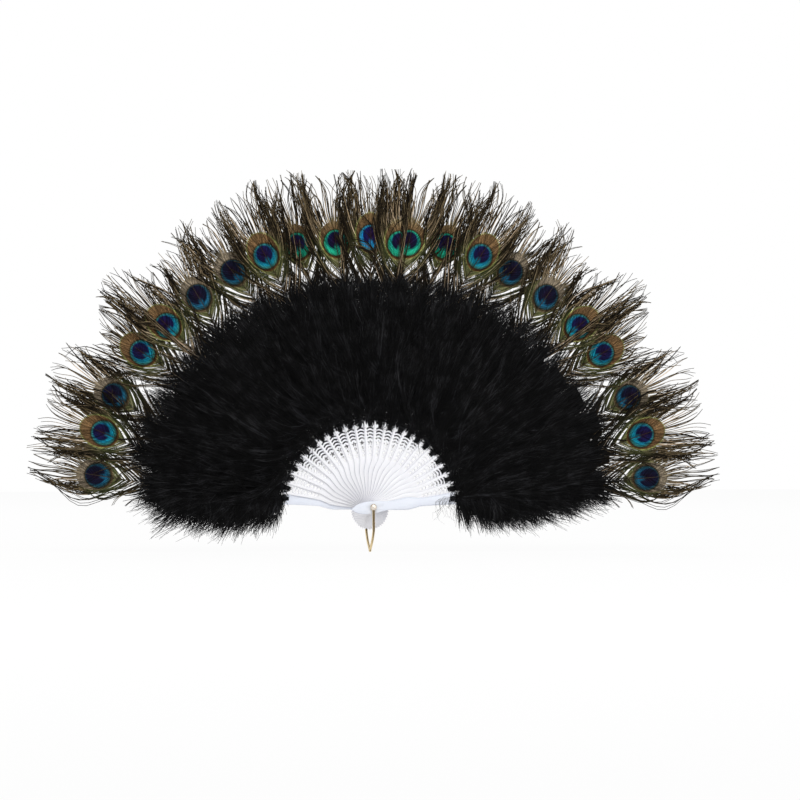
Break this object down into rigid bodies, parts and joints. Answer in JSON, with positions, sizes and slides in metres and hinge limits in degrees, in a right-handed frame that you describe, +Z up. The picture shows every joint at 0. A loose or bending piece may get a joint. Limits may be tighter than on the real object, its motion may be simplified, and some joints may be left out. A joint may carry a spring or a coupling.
{
  "type": "feather fan",
  "caption": "Folding fan of pierced white sticks on one rivet with a wire loop, trimmed with a band of black down and a row of eyed tail feathers.",
  "frame": {"origin": "on the rivet's axis, half way through the stack of sticks, where the hand holds the fan", "axes": "+Z up along the middle stick, -Y towards the viewer of the open fan, +X to that viewer's right"},
  "size_m": [0.6766, 0.061, 0.3781],
  "materials": {
    "white_plastic": "satin",
    "eyed_feather": "satin",
    "black_down": "matte",
    "ribbon": "satin",
    "rivet_metal": "polished",
    "gilt_wire": "polished"
  },
  "bodies": {
    "rear_guard": {"rear_guard": "white_plastic", "eyed_feather_01": "eyed_feather", "marabou_tuft_01": "black_down"},
    "stick_01": {"stick_01": "white_plastic", "eyed_feather_02": "eyed_feather"},
    "stick_02": {"stick_02": "white_plastic", "eyed_feather_03": "eyed_feather"},
    "stick_03": {"stick_03": "white_plastic", "marabou_tuft_02": "black_down"},
    "stick_04": {"stick_04": "white_plastic", "eyed_feather_04": "eyed_feather"},
    "stick_05": {"stick_05": "white_plastic", "eyed_feather_05": "eyed_feather"},
    "stick_06": {"stick_06": "white_plastic", "eyed_feather_06": "eyed_feather", "marabou_tuft_03": "black_down"},
    "stick_07": {"stick_07": "white_plastic"},
    "stick_08": {"stick_08": "white_plastic", "eyed_feather_07": "eyed_feather"},
    "stick_09": {"stick_09": "white_plastic", "eyed_feather_08": "eyed_feather", "marabou_tuft_04": "black_down"},
    "stick_10": {"stick_10": "white_plastic", "eyed_feather_09": "eyed_feather"},
    "stick_11": {"stick_11": "white_plastic", "eyed_feather_10": "eyed_feather"},
    "stick_12": {"stick_12": "white_plastic", "eyed_feather_11": "eyed_feather", "marabou_tuft_05": "black_down", "linking_ribbon": "ribbon", "pivot_rivet": "rivet_metal", "rivet_washer": "rivet_metal"},
    "stick_13": {"stick_13": "white_plastic", "eyed_feather_12": "eyed_feather"},
    "stick_14": {"stick_14": "white_plastic", "eyed_feather_13": "eyed_feather"},
    "stick_15": {"stick_15": "white_plastic", "eyed_feather_14": "eyed_feather", "marabou_tuft_06": "black_down"},
    "stick_16": {"stick_16": "white_plastic", "eyed_feather_15": "eyed_feather"},
    "stick_17": {"stick_17": "white_plastic"},
    "stick_18": {"stick_18": "white_plastic", "eyed_feather_16": "eyed_feather", "marabou_tuft_07": "black_down"},
    "stick_19": {"stick_19": "white_plastic", "eyed_feather_17": "eyed_feather"},
    "stick_20": {"stick_20": "white_plastic", "eyed_feather_18": "eyed_feather"},
    "stick_21": {"stick_21": "white_plastic", "marabou_tuft_08": "black_down"},
    "stick_22": {"stick_22": "white_plastic", "eyed_feather_19": "eyed_feather"},
    "stick_23": {"stick_23": "white_plastic", "eyed_feather_20": "eyed_feather"},
    "front_guard": {"front_guard": "white_plastic", "eyed_feather_21": "eyed_feather", "marabou_tuft_09": "black_down"},
    "bail": {"bail": "gilt_wire"}
  },
  "joints": [
    {"name": "fan_fold", "type": "hinge", "parent": "stick_12", "child": "front_guard", "pos_m": [0, 0, 0], "axis": [0, -1, 0], "range_deg": [0, 84], "deforming": ["marabou_tuft_01", "marabou_tuft_02", "marabou_tuft_03", "marabou_tuft_04", "marabou_tuft_05", "marabou_tuft_06", "marabou_tuft_07", "marabou_tuft_08", "marabou_tuft_09", "linking_ribbon"]},
    {"name": "rear_guard_fold", "type": "hinge", "parent": "stick_12", "child": "rear_guard", "pos_m": [0, 0, 0], "axis": [0, -1, 0], "range_deg": [-84, 0]},
    {"name": "stick_01_fold", "type": "hinge", "parent": "stick_12", "child": "stick_01", "pos_m": [0, 0, 0], "axis": [0, -1, 0], "range_deg": [-77, 0]},
    {"name": "stick_02_fold", "type": "hinge", "parent": "stick_12", "child": "stick_02", "pos_m": [0, 0, 0], "axis": [0, -1, 0], "range_deg": [-70, 0]},
    {"name": "stick_03_fold", "type": "hinge", "parent": "stick_12", "child": "stick_03", "pos_m": [0, 0, 0], "axis": [0, -1, 0], "range_deg": [-63, 0]},
    {"name": "stick_04_fold", "type": "hinge", "parent": "stick_12", "child": "stick_04", "pos_m": [0, 0, 0], "axis": [0, -1, 0], "range_deg": [-56, 0]},
    {"name": "stick_05_fold", "type": "hinge", "parent": "stick_12", "child": "stick_05", "pos_m": [0, 0, 0], "axis": [0, -1, 0], "range_deg": [-49, 0]},
    {"name": "stick_06_fold", "type": "hinge", "parent": "stick_12", "child": "stick_06", "pos_m": [0, 0, 0], "axis": [0, -1, 0], "range_deg": [-42, 0]},
    {"name": "stick_07_fold", "type": "hinge", "parent": "stick_12", "child": "stick_07", "pos_m": [0, 0, 0], "axis": [0, -1, 0], "range_deg": [-35, 0]},
    {"name": "stick_08_fold", "type": "hinge", "parent": "stick_12", "child": "stick_08", "pos_m": [0, 0, 0], "axis": [0, -1, 0], "range_deg": [-28, 0]},
    {"name": "stick_09_fold", "type": "hinge", "parent": "stick_12", "child": "stick_09", "pos_m": [0, 0, 0], "axis": [0, -1, 0], "range_deg": [-21, 0]},
    {"name": "stick_10_fold", "type": "hinge", "parent": "stick_12", "child": "stick_10", "pos_m": [0, 0, 0], "axis": [0, -1, 0], "range_deg": [-14, 0]},
    {"name": "stick_11_fold", "type": "hinge", "parent": "stick_12", "child": "stick_11", "pos_m": [0, 0, 0], "axis": [0, -1, 0], "range_deg": [-7, 0]},
    {"name": "stick_13_fold", "type": "hinge", "parent": "stick_12", "child": "stick_13", "pos_m": [0, 0, 0], "axis": [0, -1, 0], "range_deg": [0, 7]},
    {"name": "stick_14_fold", "type": "hinge", "parent": "stick_12", "child": "stick_14", "pos_m": [0, 0, 0], "axis": [0, -1, 0], "range_deg": [0, 14]},
    {"name": "stick_15_fold", "type": "hinge", "parent": "stick_12", "child": "stick_15", "pos_m": [0, 0, 0], "axis": [0, -1, 0], "range_deg": [0, 21]},
    {"name": "stick_16_fold", "type": "hinge", "parent": "stick_12", "child": "stick_16", "pos_m": [0, 0, 0], "axis": [0, -1, 0], "range_deg": [0, 28]},
    {"name": "stick_17_fold", "type": "hinge", "parent": "stick_12", "child": "stick_17", "pos_m": [0, 0, 0], "axis": [0, -1, 0], "range_deg": [0, 35]},
    {"name": "stick_18_fold", "type": "hinge", "parent": "stick_12", "child": "stick_18", "pos_m": [0, 0, 0], "axis": [0, -1, 0], "range_deg": [0, 42]},
    {"name": "stick_19_fold", "type": "hinge", "parent": "stick_12", "child": "stick_19", "pos_m": [0, 0, 0], "axis": [0, -1, 0], "range_deg": [0, 49]},
    {"name": "stick_20_fold", "type": "hinge", "parent": "stick_12", "child": "stick_20", "pos_m": [0, 0, 0], "axis": [0, -1, 0], "range_deg": [0, 56]},
    {"name": "stick_21_fold", "type": "hinge", "parent": "stick_12", "child": "stick_21", "pos_m": [0, 0, 0], "axis": [0, -1, 0], "range_deg": [0, 63]},
    {"name": "stick_22_fold", "type": "hinge", "parent": "stick_12", "child": "stick_22", "pos_m": [0, 0, 0], "axis": [0, -1, 0], "range_deg": [0, 70]},
    {"name": "stick_23_fold", "type": "hinge", "parent": "stick_12", "child": "stick_23", "pos_m": [0, 0, 0], "axis": [0, -1, 0], "range_deg": [0, 77]},
    {"name": "bail_swing", "type": "hinge", "parent": "stick_12", "child": "bail", "pos_m": [0, 0, 0], "axis": [0, -1, 0], "range_deg": [-75, 75]}
  ],
  "couplings": [
    {"joint": "rear_guard_fold", "follows": "fan_fold", "ratio": -1},
    {"joint": "stick_01_fold", "follows": "fan_fold", "ratio": -0.91667},
    {"joint": "stick_02_fold", "follows": "fan_fold", "ratio": -0.83333},
    {"joint": "stick_03_fold", "follows": "fan_fold", "ratio": -0.75},
    {"joint": "stick_04_fold", "follows": "fan_fold", "ratio": -0.66667},
    {"joint": "stick_05_fold", "follows": "fan_fold", "ratio": -0.58333},
    {"joint": "stick_06_fold", "follows": "fan_fold", "ratio": -0.5},
    {"joint": "stick_07_fold", "follows": "fan_fold", "ratio": -0.41667},
    {"joint": "stick_08_fold", "follows": "fan_fold", "ratio": -0.33333},
    {"joint": "stick_09_fold", "follows": "fan_fold", "ratio": -0.25},
    {"joint": "stick_10_fold", "follows": "fan_fold", "ratio": -0.16667},
    {"joint": "stick_11_fold", "follows": "fan_fold", "ratio": -0.083333},
    {"joint": "stick_13_fold", "follows": "fan_fold", "ratio": 0.083333},
    {"joint": "stick_14_fold", "follows": "fan_fold", "ratio": 0.16667},
    {"joint": "stick_15_fold", "follows": "fan_fold", "ratio": 0.25},
    {"joint": "stick_16_fold", "follows": "fan_fold", "ratio": 0.33333},
    {"joint": "stick_17_fold", "follows": "fan_fold", "ratio": 0.41667},
    {"joint": "stick_18_fold", "follows": "fan_fold", "ratio": 0.5},
    {"joint": "stick_19_fold", "follows": "fan_fold", "ratio": 0.58333},
    {"joint": "stick_20_fold", "follows": "fan_fold", "ratio": 0.66667},
    {"joint": "stick_21_fold", "follows": "fan_fold", "ratio": 0.75},
    {"joint": "stick_22_fold", "follows": "fan_fold", "ratio": 0.83333},
    {"joint": "stick_23_fold", "follows": "fan_fold", "ratio": 0.91667}
  ]
}
